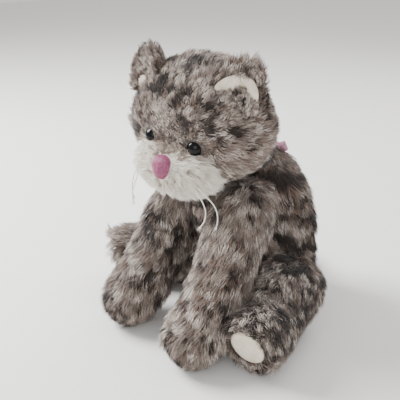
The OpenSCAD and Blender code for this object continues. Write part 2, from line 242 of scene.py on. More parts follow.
def textured(name, rgb, low, high, cell, bump, bump_cell, roughness=(0.6, 0.8), **sockets):
    """A material with mottled colour, roughness and grain, from noise in the object's own space."""
    material = new_material(name, rgb, **sockets)
    tree = material.node_tree
    nodes, links = tree.nodes, tree.links
    shader = nodes["Principled BSDF"]
    where = nodes.new("ShaderNodeTexCoord")

    def field(cell_size, detail):
        node = nodes.new("ShaderNodeTexNoise")
        node.inputs["Scale"].default_value = 1 / cell_size
        node.inputs["Detail"].default_value = detail
        links.new(where.outputs["Object"], node.inputs["Vector"])
        return node

    mottle = field(cell, 4)
    ramp = nodes.new("ShaderNodeValToRGB")
    ramp.color_ramp.elements[0].position = 0.35
    ramp.color_ramp.elements[0].color = srgb(*low)
    ramp.color_ramp.elements[1].position = 0.65
    ramp.color_ramp.elements[1].color = srgb(*high)
    links.new(mottle.outputs["Fac"], ramp.inputs["Fac"])
    links.new(ramp.outputs["Color"], shader.inputs["Base Color"])
    spread = nodes.new("ShaderNodeMapRange")
    spread.inputs["To Min"].default_value, spread.inputs["To Max"].default_value = roughness
    links.new(mottle.outputs["Fac"], spread.inputs["Value"])
    links.new(spread.outputs["Result"], shader.inputs["Roughness"])
    grain = field(bump_cell, 3)
    lift = nodes.new("ShaderNodeBump")
    lift.inputs["Strength"].default_value = 0.5
    lift.inputs["Distance"].default_value = bump
    links.new(grain.outputs["Fac"], lift.inputs["Height"])
    links.new(lift.outputs["Normal"], shader.inputs["Normal"])
    return material


BRINDLE_SHADES = [
    (72, 62, 56), (88, 77, 70),
    (116, 103, 96), (130, 117, 109), (144, 131, 122), (124, 104, 93),
    (182, 170, 160), (206, 196, 187),
    (26, 21, 18), (36, 29, 26), (54, 44, 39)]
# The first two colours, for the hairs' roots, are darker as painted shade deep in the pile.
SHADED_ROOT, MIDDLE, LIGHT, DARK = (0, 1), (2, 3, 4, 5), (6, 7), (8, 9, 10)
# The darker first and fifth whites go to the roots as painted shade deep in the pile; the last two are the taupe on
# the muzzle's top.
WHITE_SHADES = [
    (190, 180, 164), (211, 203, 189), (226, 220, 208), (236, 232, 222), (168, 153, 134), (146, 131, 119),
    (178, 163, 150)]

BRINDLE = pile_materials("brindle_pile", BRINDLE_SHADES)
WHITE = pile_materials("white_pile", WHITE_SHADES)
BACKING = textured(
    "knitted_backing", (62, 54, 48), (52, 45, 40), (74, 64, 57), 0.012, 0.0004, 0.0012)
PALE_BACKING = textured(
    "pale_backing", (212, 203, 190), (202, 192, 178), (226, 219, 208), 0.01, 0.0004, 0.0012)
VELOUR = textured(
    "cream_velour", (212, 202, 184), (200, 188, 166), (222, 213, 196), 0.009, 0.0003, 0.0006,
    Sheen_Weight=0.4, Sheen_Roughness=0.4)
SEAM = textured(
    "seam_thread", (205, 194, 174), (190, 178, 158), (216, 206, 188), 0.004, 0.0001, 0.0003)
ROSE = textured(
    "rose_thread", (148, 72, 106), (130, 56, 92), (164, 90, 122), 0.0022, 0.0001, 0.0003, (0.35, 0.5),
    Sheen_Weight=0.3, Sheen_Roughness=0.3)
PINK = textured(
    "pink_satin", (168, 120, 138), (152, 104, 122), (184, 136, 152), 0.003, 0.0001, 0.0005, (0.32, 0.48),
    Sheen_Weight=0.3, Sheen_Roughness=0.3)
CHARCOAL = textured(
    "charcoal_ribbon", (44, 40, 41), (34, 31, 32), (58, 53, 53), 0.002, 0.0002, 0.0006)
THREAD = textured(
    "waxed_thread", (236, 234, 228), (222, 219, 211), (245, 243, 239), 0.002, 0.0001, 0.0003)
EYE = new_material("eye_gloss", (4, 4, 5), 0.05, Specular_IOR_Level=0.22)


# ---------------------------------------------------------------- whiskers, which come first after the camera

WHISKER_D = 1 * MM
HEAD_AT, HEAD_TURN, HEAD_TILT = Vector((0, -72, 195)) * MM, 15, 4
MUZZLE_AT, MUZZLE_HALF = np.array((0, -31, -32)), np.array((33, 23, 22))
# Each whisker's root as shares of the muzzle's half sizes from its middle, and the way it hangs from there, in
# millimetres in the head's own frame
WHISKERS = {
    "inner": ((0.7, -0.66, -0.04), [
        (0, 0, 0), (2.3, -1.4, -2.6), (4.6, -1.3, -5.9), (6.6, -0.1, -9.2), (8.7, 1.2, -12.5),
        (10.7, 2.6, -15.9), (12.7, 3.6, -19.3), (14.3, 4.2, -22.7), (15.7, 4.4, -26.1), (16.4, 4, -29.5),
        (16.6, 3.4, -32.5), (16.2, 2.8, -35.4), (15.2, 2, -38.1), (14, 1.4, -40.5)]),
    "outer": ((0.765, -0.55, -0.055), [
        (0, 0, 0), (3.3, -2.1, -2.6), (5.8, -2.1, -5.3), (8.1, -0.9, -8.3), (10.8, 0.5, -11.3),
        (13.4, 2.4, -14.2), (15.7, 4.3, -17), (17.8, 5.9, -20.1), (19.6, 7.1, -23.5), (20.9, 7.9, -27.2),
        (21.7, 8.1, -30.8), (21.8, 8.4, -34.6), (21.4, 8.6, -38.2), (20.5, 8.7, -41.2)])}


def whisker_points(side, root, route):
    turned = Matrix.Rotation(math.radians(HEAD_TURN), 3, "Z") @ Matrix.Rotation(math.radians(HEAD_TILT), 3, "Y")
    points = []
    for step in route:
        local = (MUZZLE_AT + np.array(root) * MUZZLE_HALF + step) * (side_of(side), 1, 1)
        points.append(HEAD_AT + turned @ Vector(local) * MM)
    return points


def make_whisker(side, name):
    points = whisker_points(side, *WHISKERS[name])
    curve = bpy.data.curves.new(f"{side}_whisker_{name}_thread", "CURVE")
    curve.dimensions = "3D"
    curve.bevel_depth = WHISKER_D / 2
    curve.bevel_resolution = 3
    curve.use_fill_caps = True
    spline = curve.splines.new("POLY")
    spline.points.add(len(points) - 1)
    for target, p in zip(spline.points, points):
        target.co = (*p, 1)
    curve.materials.append(THREAD)
    whisker = bpy.data.objects.new(curve.name, curve)
    bpy.context.scene.collection.objects.link(whisker)
    piece(whisker, "head", "whisker_thread", f"{side}_whisker_{name}")
    return whisker, points


def make_knots(side, routes):
    """Each whisker's end knot: a small figure of eight of thread with a frayed tail."""
    verts, faces = [], []
    for route in routes:
        way = (route[-1] - route[-2]).normalized()
        across = way.orthogonal().normalized()
        third = way.cross(across)
        heart = route[-1] + way * WHISKER_D
        loop = []
        for i in range(28):
            a = 2 * math.pi * i / 28
            bend = (across * math.cos(a) + third * math.sin(2 * a) * 0.6) * 0.8 * MM
            loop.append(heart + bend + way * 0.5 * MM * math.sin(3 * a))
        tube_into(verts, faces, loop, 0.42 * MM, 6, closed=True)
        for turn in range(4):
            lean = (across * math.cos(1.7 * turn) + third * math.sin(1.7 * turn)) * 0.35
            fray = [heart + (way + lean * k * 0.5) * k * 0.9 * MM for k in range(4)]
            tube_into(verts, faces, fray, 0.16 * MM, 5)
    knots = add_mesh(f"{side}_whisker_ends", verts, faces, [THREAD])
    return piece(knots, "head", "whisker_thread", "whisker_knots")


def tube_into(verts, faces, path, radius, sides, closed=False):
    """Adds a round tube along the path. radius is one number, or one for each point."""
    count = len(path)
    radii = radius if hasattr(radius, "__len__") else [radius] * count
    first = len(verts)
    normal = None
    for i, p in enumerate(path):
        ahead = path[(i + 1) % count] if closed or i < count - 1 else p
        behind = path[i - 1] if closed or i else p
        way = (ahead - behind).normalized()
        normal = way.orthogonal().normalized() if normal is None else (normal - way * normal.dot(way)).normalized()
        third = way.cross(normal)
        for k in range(sides):
            a = 2 * math.pi * k / sides
            verts.append(p + (normal * math.cos(a) + third * math.sin(a)) * radii[i])
    for i in range(count if closed else count - 1):
        here, there = first + i * sides, first + (i + 1) % count * sides
        for k in range(sides):
            faces.append((here + k, here + (k + 1) % sides, there + (k + 1) % sides, there + k))
    if not closed:
        faces.append(tuple(first + k for k in reversed(range(sides))))
        faces.append(tuple(first + (count - 1) * sides + k for k in range(sides)))


def make_whiskers():
    for side in SIDES:
        made = [make_whisker(side, name) for name in WHISKERS]
        knots = make_knots(side, [points for _, points in made])


make_whiskers()


# ---------------------------------------------------------------- skins

def stem_lines(node):
    """The holes in a skin: where each stem goes through, and in the head the eyes' places too."""
    joints = [j for j in JOINTS.values() if node.startswith(j["child"] + "_") or node.startswith(j["parent"] + "_")]
    lines = [(np.array(j["pos_m"]), unit(j["axis"]), 4.4 * MM) for j in joints]
    if node == "head_skin":
        lines += [(*eye_line(side), 7.6 * MM) for side in SIDES]
    return lines


def outer_face(node):
    """A skin's outer face alone, closed where its holes were."""
    bm = bmesh.new()
    bm.from_mesh(NODES[node].data)
    bmesh.ops.remove_doubles(bm, verts=bm.verts, dist=0.02 * MM)
    co = np.array([v.co for v in bm.verts])
    for point, way, radius in stem_lines(node):
        near = line_distance(co, point, way) < radius
        gone = [f for f in bm.faces if all(near[v.index] for v in f.verts)]
        bmesh.ops.delete(bm, geom=gone, context="FACES_ONLY")
    keep_largest(bm)
    bmesh.ops.holes_fill(bm, edges=[e for e in bm.edges if e.is_boundary], sides=0)
    bmesh.ops.triangulate(bm, faces=bm.faces)
    mesh = bpy.data.meshes.new(node + "_outer")
    bm.to_mesh(mesh)
    bm.free()
    return mesh


def keep_largest(bm):
    """Drops every loose part of the mesh but the one that spans the most."""
    left, parts = set(bm.faces), []
    while left:
        part, todo = set(), [left.pop()]
        while todo:
            face = todo.pop()
            part.add(face)
            for edge in face.edges:
                for other in edge.link_faces:
                    if other in left:
                        left.discard(other)
                        todo.append(other)
        co = np.array([v.co for f in part for v in f.verts])
        parts.append((float(np.prod(np.ptp(co, axis=0))), part))
    parts.sort(key=lambda x: x[0])
    for _, part in parts[:-1]:
        bmesh.ops.delete(bm, geom=list(part), context="FACES")
    bmesh.ops.delete(bm, geom=[v for v in bm.verts if not v.link_faces], context="VERTS")


def make_skin(node, name, body, slot, material, cell, rounds):
    """A skin as an even, soft mesh in the place of its node."""
    skin = bpy.data.objects.new(name, outer_face(node))
    bpy.context.scene.collection.objects.link(skin)
    remesh = skin.modifiers.new("even", "REMESH")
    remesh.mode = "VOXEL"
    remesh.voxel_size = cell
    soften = skin.modifiers.new("soft", "SMOOTH")
    soften.iterations = rounds
    applied(skin)
    skin.data.materials.clear()
    skin.data.materials.append(material)
    skin.data.shade_smooth()
    piece(skin, body, slot, node)
    return skin


SKINS = {
    "torso": make_skin("torso_skin", "torso_cloth", "torso", "brindle_plush", BACKING, 2.5 * MM, 4),
    "head": make_skin("head_skin", "head_cloth", "head", "brindle_plush", BACKING, 2.2 * MM, 4),
    "tail": make_skin("tail_skin", "tail_cloth", "torso", "brindle_plush", BACKING, 2 * MM, 4),
    "muzzle": make_skin("muzzle_skin", "muzzle_cloth", "head", "white_plush", PALE_BACKING, 1.2 * MM, 3),
}
for limb in LIMBS:
    SKINS[limb] = make_skin(limb + "_skin", limb + "_cloth", limb, "brindle_plush", BACKING, 2.2 * MM, 4)
for side in SIDES:
    SKINS[side + "_ear"] = make_skin(side + "_ear", side + "_ear_cloth", "head", "brindle_plush", BACKING, 1 * MM, 3)
BODY_OF_SKIN = {
    "tail": "torso", "muzzle": "head", "left_ear": "head", "right_ear": "head", "left_lining": "head",
    "right_lining": "head", "nose": "head"}


# ---------------------------------------------------------------- eyes

EYE_R, EYE_RISE, WASHER_DEPTH, SHANK_R, SHANK_LENGTH = 7, 1, 9.4, 2, 13.5


def lathe(axis_point, way, profile, segments=56):
    """A turned solid about a line, from (radius, height) pairs in millimetres that start and end on the line."""
    across = unit(np.cross(way, UP))
    third = np.cross(way, across)
    verts, faces = [], band_faces(len(profile) - 1, segments)
    for r, h in profile:
        for k in range(segments):
            a = 2 * math.pi * k / segments
            verts.append(axis_point + (way * h + (across * math.cos(a) + third * math.sin(a)) * r) * MM)
    faces.append(tuple(reversed(range(segments))))
    faces.append(tuple((len(profile) - 1) * segments + k for k in range(segments)))
    return verts, faces


def make_eye(side):
    """A polished dome with a rounded rim, on a ridged shank that the washer grips."""
    _, way = eye_line(side)
    seat = centre(side + "_eye_washer") + way * WASHER_DEPTH * MM
    dome = [
        (EYE_R * math.sin(math.radians(a)), EYE_RISE + EYE_R * math.cos(math.radians(a)))
        for a in np.linspace(2, 96, 26)]
    rim = [(EYE_R - 0.15, 0), (EYE_R - 0.5, -0.35), (EYE_R - 1.2, -0.5), (SHANK_R + 0.4, -0.5), (SHANK_R, -0.9)]
    shank = [(SHANK_R - 0.25 * (i % 2), -1 - i * 0.8) for i in range(15)]
    tip = [(1.2, -SHANK_LENGTH), (0.1, -SHANK_LENGTH - 0.4)]
    eye = add_mesh(side + "_eye_dome", *lathe(seat, way, dome + rim + shank + tip), [EYE])
    piece(eye, "head", "eye_gloss", side + "_eye")


for side in SIDES:
    make_eye(side)


# ---------------------------------------------------------------- nose

def tree_of(obj):
    bpy.context.view_layer.update()
    return BVHTree.FromObject(obj, bpy.context.evaluated_depsgraph_get())


def nose_edge(angle):
    """The outline of the nose, an egg with its wide end up: how far across and how far up, in millimetres."""
    c, s = math.cos(angle), math.sin(angle)
    return 9.0 * c * (1 + 0.22 * s), 10.2 * math.copysign(abs(s) ** 0.9, s)


def make_nose():
    """A plump padded nose, covered in upright satin stitches laid side by side."""
    front = unit(HEAD_FRONT + UP * 0.3)
    up = np.cross(front, HEAD_X)
    seat = NOSE_CENTRE - front * 3 * MM
    rings, segments = 14, 64
    verts, faces = [], band_faces(rings + 1, segments, flip=True)
    for i in range(rings + 1):
        share = max(i / rings, 0.02)
        rise = 9.5 * (1 - share ** 2.6) ** 0.62
        for k in range(segments):
            x, z = nose_edge(2 * math.pi * k / segments)
            verts.append(seat + (HEAD_X * x * share + up * z * share + front * rise) * MM)
    for k in range(segments):
        verts.append(verts[rings * segments + k] - front * 5 * MM)
    faces.append(tuple(range(segments)))
    faces.append(tuple((rings + 1) * segments + k for k in reversed(range(segments))))
    pad = add_mesh("nose_pad", verts, faces, [ROSE])
    piece(pad, "head", "nose_thread", "nose")
    tree = tree_of(pad)
    rng = np.random.default_rng(SEED)
    verts, faces = [], []
    for column in range(-16, 17):
        path = []
        slant = rng.normal(0, 0.02)
        for row in range(-30, 31):
            z = row * 0.4 * MM
            x = column * 0.62 * MM + slant * z + rng.normal(0, 0.02) * MM
            hit = tree.ray_cast(seat + HEAD_X * x + up * z + front * 30 * MM, -front, 34 * MM)
            if hit[0] is not None and (hit[0] - Vector(seat)).dot(Vector(front)) > -1 * MM:
                path.append(hit[0] + hit[1] * 0.12 * MM)
        if len(path) > 5:
            tube_into(verts, faces, path, 0.37 * MM, 6)
    stitches = add_mesh("nose_stitches", verts, faces, [ROSE])
    piece(stitches, "head", "nose_thread")
    return pad


NOSE = make_nose()


# ---------------------------------------------------------------- ear linings and pads

# Millimetres: a lining's half width, its rise and drop from its middle, the middle above its foot, its cup's radius
EAR_HALF_W, EAR_RISE, EAR_DROP, EAR_MIDDLE, EAR_BEND = 18.5, 21.5, 8, 9, 28
EAR_SLOPE = 0.72                      # fall of an ear's base line for each step outwards
CRESCENT = 0.56                       # share of the left lining that loose pile covers
BARE_X, BARE_HALF_W, BARE_HALF_H = 9, 5.5, 5  # the bare patch of the right lining


def ear_frame(side):
    """The middle of an ear's base line, its own across, up and front directions."""
    middle, front, _, _, _ = flat_frame(side + "_ear_lining", HEAD_FRONT)
    base = unit(HEAD_X * side_of(side) - UP * EAR_SLOPE)
    across = unit(base - front * (base @ front))
    up = np.cross(front, across) * side_of(side)
    return middle, across, up, front


def ear_foot(side):
    """How far the foot of an ear lies above its middle: a negative length."""
    middle, _, up, _ = ear_frame(side)
    return min(points_of(NODES[side + "_ear_lining"]) @ up) - middle @ up


def in_lining(side, p):
    """Places on an ear's lining, in millimetres across and up from the middle of its disc."""
    middle, across, up, _ = ear_frame(side)
    d = (p - middle - up * ear_foot(side)) / MM
    return d @ across, d @ up - EAR_MIDDLE


def tufted(side, x, z):
    """Where loose pile covers an ear's lining: all but a crescent on the left, all but a low patch on the right."""
    if side == "left":
        return (np.hypot((x - 2) / EAR_HALF_W, (z + 2) / EAR_RISE) < CRESCENT) | (z < 3 + 0.5 * x)
    x = x - BARE_X
    return (np.hypot(x / BARE_HALF_W, z / BARE_HALF_H) > 1) & ((np.abs(x) > BARE_HALF_W - 0.5) | (z > 0))


def make_lining(side):
    """The smooth plush inside of an ear: a cupped pad whose edge rolls over the rim."""
    middle, across, up, front = ear_frame(side)
    low = ear_foot(side)
    rings, segments = 10, 80
    verts, faces = [], []
    for layer in (1, 0):
        for i in range(rings + 1):
            share = max(i / rings, 0.02)
            rise = (2.6 * (1 - share ** 6) ** 0.5 if layer else 0.2) - 0.3
            for k in range(segments):
                a = 2 * math.pi * k / segments
                x = EAR_HALF_W * math.cos(a) * share
                z = (EAR_RISE if a <= math.pi else EAR_DROP) * math.sin(a) * share + EAR_MIDDLE
                cup = EAR_BEND - math.sqrt(EAR_BEND ** 2 - x ** 2)
                verts.append(middle + up * low + (across * x + up * z + front * (cup + rise)) * MM)
    for layer in (0, 1):
        first = layer * (rings + 1) * segments
        for i in range(rings):
            for k in range(segments):
                j = (k + 1) % segments
                quad = [first + (i + di) * segments + kk for di, kk in ((0, k), (1, k), (1, j), (0, j))]
                faces.append(tuple(quad) if layer == 0 else tuple(reversed(quad)))
        ring = [first + k for k in range(segments)]
        faces.append(tuple(ring) if layer == 0 else tuple(reversed(ring)))
    rim = rings * segments
    other = rim + (rings + 1) * segments
    for k in range(segments):
        j = (k + 1) % segments
        faces.append((rim + k, other + k, other + j, rim + j))
    middles = np.array([np.mean([verts[k] for k in face], axis=0) for face in faces])
    plush = tufted(side, *in_lining(side, middles)).astype(int)
    lining = add_mesh(side + "_ear_inside", verts, faces, [VELOUR, BACKING], face_materials=plush.tolist())
    turned_outwards(lining)
    piece(lining, "head", "cream_velour", side + "_ear_lining")
    return lining


def flat_frame(node, outward):
    """The middle of a thin node, its normal on the outward side, and its two own directions with its half sizes."""
    co = points_of(NODES[node])
    middle = (co.min(0) + co.max(0)) / 2
    _, _, axes = np.linalg.svd(co - co.mean(0), full_matrices=False)
    normal = axes[2] * np.sign(axes[2] @ outward)
    along = unit(UP - normal * (UP @ normal)) if abs(UP @ normal) < 0.95 else np.array([0.0, -1.0, 0.0])
    across = np.cross(normal, along)
    half = [np.ptp((co - middle) @ way) / 2 for way in (across, along)]
    return middle, normal, across, along, half


LININGS = {side: make_lining(side) for side in SIDES}


def make_pad(node, name, body, outward, crown, slot="cream_velour"):
    """A crowned oval pad, sewn down round its edge with small slanting stitches."""
    middle, normal, across, along, half = flat_frame(node, np.asarray(outward, float))
    rings, segments = 12, 72
    verts, faces = [], band_faces(rings + 1, segments)
    for i in range(rings + 1):
        share = i / rings
        rise = crown * (1 - share ** 2.4) ** 0.6
        for k in range(segments):
            a = 2 * math.pi * k / segments
            pucker = 1 + 0.012 * math.sin(18 * a) * share ** 4
            wide, high = (size * share * pucker for size in half)
            verts.append(middle + across * wide * math.cos(a) + along * high * math.sin(a) + normal * rise)
    for k in range(segments):
        verts.append(verts[rings * segments + k] - normal * 1.4 * MM)
    faces.append(tuple((rings + 1) * segments + k for k in range(segments)))
    pad = add_mesh(name, verts, faces, [VELOUR])
    turned_outwards(pad, merge=0.01 * MM)
    piece(pad, body, slot, node)
    verts, faces = [], []
    for k in range(48):
        a = 2 * math.pi * k / 48
        edge = lambda angle, share: Vector(
            middle + across * half[0] * share * math.cos(angle) + along * half[1] * share * math.sin(angle))
        lift = Vector(normal) * 0.35 * MM
        path = [
            edge(a, 0.9) - lift, edge(a + 0.03, 0.93) + lift * 2.2, edge(a + 0.06, 0.99) + lift * 1.2,
            edge(a + 0.08, 1.03) - lift]
        tube_into(verts, faces, path, 0.22 * MM, 5)
    stitches = add_mesh(name + "_stitches", verts, faces, [SEAM])
    piece(stitches, body, slot)


for side in SIDES:
    make_pad(side + "_foot_pad", side + "_sole", side + "_leg", (0, -1, -0.2), 3 * MM)
    make_pad(side + "_paw_pad", side + "_paw_sole", side + "_arm", (0, 0, -1), 0.0)


# ---------------------------------------------------------------- collar

NECK, NECK_WAY = np.array(JOINTS["neck_swivel"]["pos_m"]), unit(JOINTS["neck_swivel"]["axis"])
NECK_SIDE = np.array([1.0, 0.0, 0.0])
NECK_BACK = unit(np.cross(NECK_WAY, NECK_SIDE))


def make_ribbon():
    """A grosgrain band round the neck, over the pressed pile."""
    tree = tree_of(NODES["collar_ribbon"])
    co = points_of(NODES["collar_ribbon"])
    heights = (co - NECK) @ NECK_WAY
    middle, half = (heights.min() + heights.max()) / 2, (heights.max() - heights.min()) / 2
    segments, section = 120, []
    for a in np.linspace(0, 2 * math.pi, 12, endpoint=False):
        c, s = math.cos(a), math.sin(a)
        section.append((0.45 * MM * math.copysign(abs(c) ** 0.5, c), half * math.copysign(abs(s) ** 0.35, s)))
    verts, faces = [], []
    for k in range(segments):
        a = 2 * math.pi * k / segments
        out = NECK_SIDE * math.cos(a) + NECK_BACK * math.sin(a)
        start = NECK + NECK_WAY * middle + out * 0.12
        hit = tree.ray_cast(start, -out, 0.2)
        surface = np.array(hit[0]) if hit[0] is not None else NECK + NECK_WAY * middle + out * 0.04
        wave = (1.6 + 0.25 * math.sin(5 * a) + 0.2 * math.sin(11 * a)) * MM
        for outward, up in section:
            verts.append(surface + out * (wave + outward) + NECK_WAY * (up + 0.3 * MM * math.sin(7 * a)))
    for k in range(segments):
        for i in range(12):
            j, m = (i + 1) % 12, (k + 1) % segments
            faces.append((k * 12 + i, m * 12 + i, m * 12 + j, k * 12 + j))
    ribbon = add_mesh("collar_band", verts, faces, [CHARCOAL])
    piece(ribbon, "torso", "collar_ribbon", "collar_ribbon")
    return ribbon


def strip_into(verts, faces, path, up, half_width, thickness=0.35 * MM):
    """Adds a ribbon along the path, standing across up, as a thin closed strip."""
    first, count = len(verts), len(path)
    for i, p in enumerate(path):
        ahead, behind = path[min(i + 1, count - 1)], path[max(i - 1, 0)]
        out = unit(np.cross(unit(ahead - behind), up)) * thickness
        wide = up * (half_width[i] if hasattr(half_width, "__len__") else half_width)
        verts.extend([p - wide - out, p + wide - out, p + wide + out, p - wide + out])
    for i in range(count - 1):
        a, b = first + 4 * i, first + 4 * (i + 1)
        for k in range(4):
            faces.append((a + k, b + k, b + (k + 1) % 4, a + (k + 1) % 4))
    faces.append(tuple(first + k for k in reversed(range(4))))
    faces.append(tuple(first + 4 * (count - 1) + k for k in range(4)))


def make_bow():
    """Two loops, two tails and the wrap between them."""
    low, high = (np.array(c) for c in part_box("collar_bow"))
    heart = (low + high) / 2 + NECK_BACK * 0.5 * MM
    verts, faces = [], []
    for hand in (1, -1):
        loop, widths = [], []
        for t in np.linspace(0.0, 1.0, 26):
            a = 2 * math.pi * t
            reach = 12.5 * math.sin(math.pi * t) ** 0.8
            way = NECK_SIDE * hand * reach + NECK_BACK * 2.9 * math.sin(a) + NECK_WAY * 0.22 * reach
            loop.append(heart + way * MM)
            widths.append((2.2 + 2.2 * math.sin(math.pi * t)) * MM)
        strip_into(verts, faces, loop, unit(NECK_WAY - NECK_SIDE * hand * 0.25), widths)
        tail, widths = [], []
        for t in np.linspace(0, 1, 12):
            way = NECK_SIDE * hand * (1 + 7 * t) - NECK_WAY * 12 * t + NECK_BACK * (1.2 + 1.5 * math.sin(4 * t))
            tail.append(heart + way * MM)
            widths.append((1.8 + 1.0 * t) * MM)
        strip_into(verts, faces, tail, unit(NECK_SIDE * 0.9 + NECK_WAY * 0.4 * hand), widths)
    for turn in np.linspace(-1, 1, 5):
        ring = []
        for a in np.linspace(0, 2 * math.pi, 20, endpoint=False):
            way = NECK_SIDE * 2.6 * math.cos(a) + NECK_BACK * (0.4 + 2.6 * math.sin(a)) + NECK_WAY * turn * 1.7
            ring.append(Vector(heart + way * MM))
        tube_into(verts, faces, ring, 0.75 * MM, 8, closed=True)
    bow = add_mesh("bow", verts, faces, [PINK])
    piece(bow, "torso", "pink_satin", "collar_bow")


make_ribbon()
make_bow()


# ---------------------------------------------------------------- what is inside

FIBRE = textured(
    "polyester_fibre", (222, 221, 216), (206, 205, 200), (236, 235, 231), 0.006, 0.001, 0.002)
COTTON = textured(
    "cotton_bag", (176, 172, 164), (160, 156, 148), (190, 186, 178), 0.005, 0.0003, 0.0008)
PLASTIC = textured(
    "joint_plastic", (196, 188, 170), (186, 178, 160), (204, 197, 181), 0.012, 0.0001, 0.002, (0.35, 0.5))
for name, node in NODES.items():
    if not node.hide_render:
        node.data.materials.clear()
        inside = FIBRE if "stuffing" in name else COTTON if name == "pellet_bag" else PLASTIC
        node.data.materials.append(inside)


# ---------------------------------------------------------------- pile

def scattered(skin, spacing, rng):
    """Random points on a skin, one for each spacing squared, with the skin's smooth normals there."""
    mesh = skin.data
    mesh.calc_loop_triangles()
    corners = np.zeros(len(mesh.loop_triangles) * 3, np.int64)
    mesh.loop_triangles.foreach_get("vertices", corners)
    corners = corners.reshape(-1, 3)
    co = points_of(skin)
    normals = np.zeros(len(mesh.vertices) * 3)
    mesh.vertices.foreach_get("normal", normals)
    normals = normals.reshape(-1, 3)
    a, b, c = (co[corners[:, k]] for k in range(3))
    areas = np.linalg.norm(np.cross(b - a, c - a), axis=1) / 2
    total = areas.sum()
    count = int(total / spacing ** 2)
    steps = (np.arange(count) + rng.random(count)) * total / count
    pick = np.minimum(np.searchsorted(np.cumsum(areas), steps), len(areas) - 1)
    u, v = rng.random(count), rng.random(count)
    over = u + v > 1
    u[over], v[over] = 1 - u[over], 1 - v[over]
    w = 1 - u - v
    tri = corners[pick]
    mix = lambda values: sum(values[tri[:, k]] * f[:, None] for k, f in enumerate((w, u, v)))
    return mix(co), unit(mix(normals))


def room_ahead(p, way, reach, trees):
    """How far each point can go before it meets another skin, up to reach."""
    room = np.full(len(p), reach)
    for tree in trees:
        for i in range(len(p)):
            hit = tree.ray_cast(p[i], way[i], reach)
            if hit[0] is not None:
                room[i] = min(room[i], hit[3])
    return room


def pile(name, skin_name, body, slot, materials, spacing, hairs, comb, length, shade, keep=None,
         beside=(), lift=0.75, droop=0.3, clump=0.72, width=0.56 * MM, parts=1, spread=1.15):
    """Rooted tufts of tapering hairs over a skin. comb, length and shade are functions of place and normal."""
    rng = np.random.default_rng(SEED + sum(map(ord, name)))
    p, n = scattered(SKINS.get(skin_name) or LININGS[skin_name.split("_")[0]], spacing, rng)
    if keep is not None:
        kept = keep(p, n)
        p, n = p[kept], n[kept]
    others = [t for other, t in TREES.items() if BODY_OF_SKIN.get(other, other) != body or other in beside]
    size = length(p, n)
    swirl = (noise(p, 22 * MM, 11) - 0.5) * 1.5 + rng.normal(0, 0.2, len(p))
    flow = tangent(comb(p, n), n)
    flow = flow * np.cos(swirl)[:, None] + np.cross(n, flow) * np.sin(swirl)[:, None]
    rise = lift * (0.75 + 0.5 * noise(p, 9 * MM, 5))[:, None]
    start = unit(n * rise + flow * (1 - 0.5 * rise))
    room = room_ahead(p + n * 0.3 * MM, start, 14 * MM, others)
    open_air = room > 2.2 * MM
    p, n, size, flow, start, room = (x[open_air] for x in (p, n, size, flow, start, room))
    squeeze = np.clip(room / (9 * MM), 0.25, 1)
    start = unit(start * squeeze[:, None] + flow * (1 - squeeze)[:, None])
    end = unit(flow + n * 0.35 * squeeze[:, None] - UP * droop)
    size = size * (0.55 + 0.45 * squeeze) * rng.uniform(0.82, 1.15, len(p))
    tufts = len(p)
    bits = np.array_split(np.argsort(p @ np.array([0.2, 0.3, 1.0])), parts)
    shades = shade(p, n, rng)
    made = []
    for number, chosen in enumerate(bits):
        part_name = name if parts == 1 else f"{name}_{number + 1}"
        made.append(hair_piece(
            part_name, p[chosen], n[chosen], start[chosen], end[chosen], size[chosen], shades[chosen],
            hairs, clump, width, spacing * spread, materials, rng))
        piece(made[-1], body, slot)
    print(f"{name}: {tufts} tufts, {tufts * hairs} hairs")
    return made


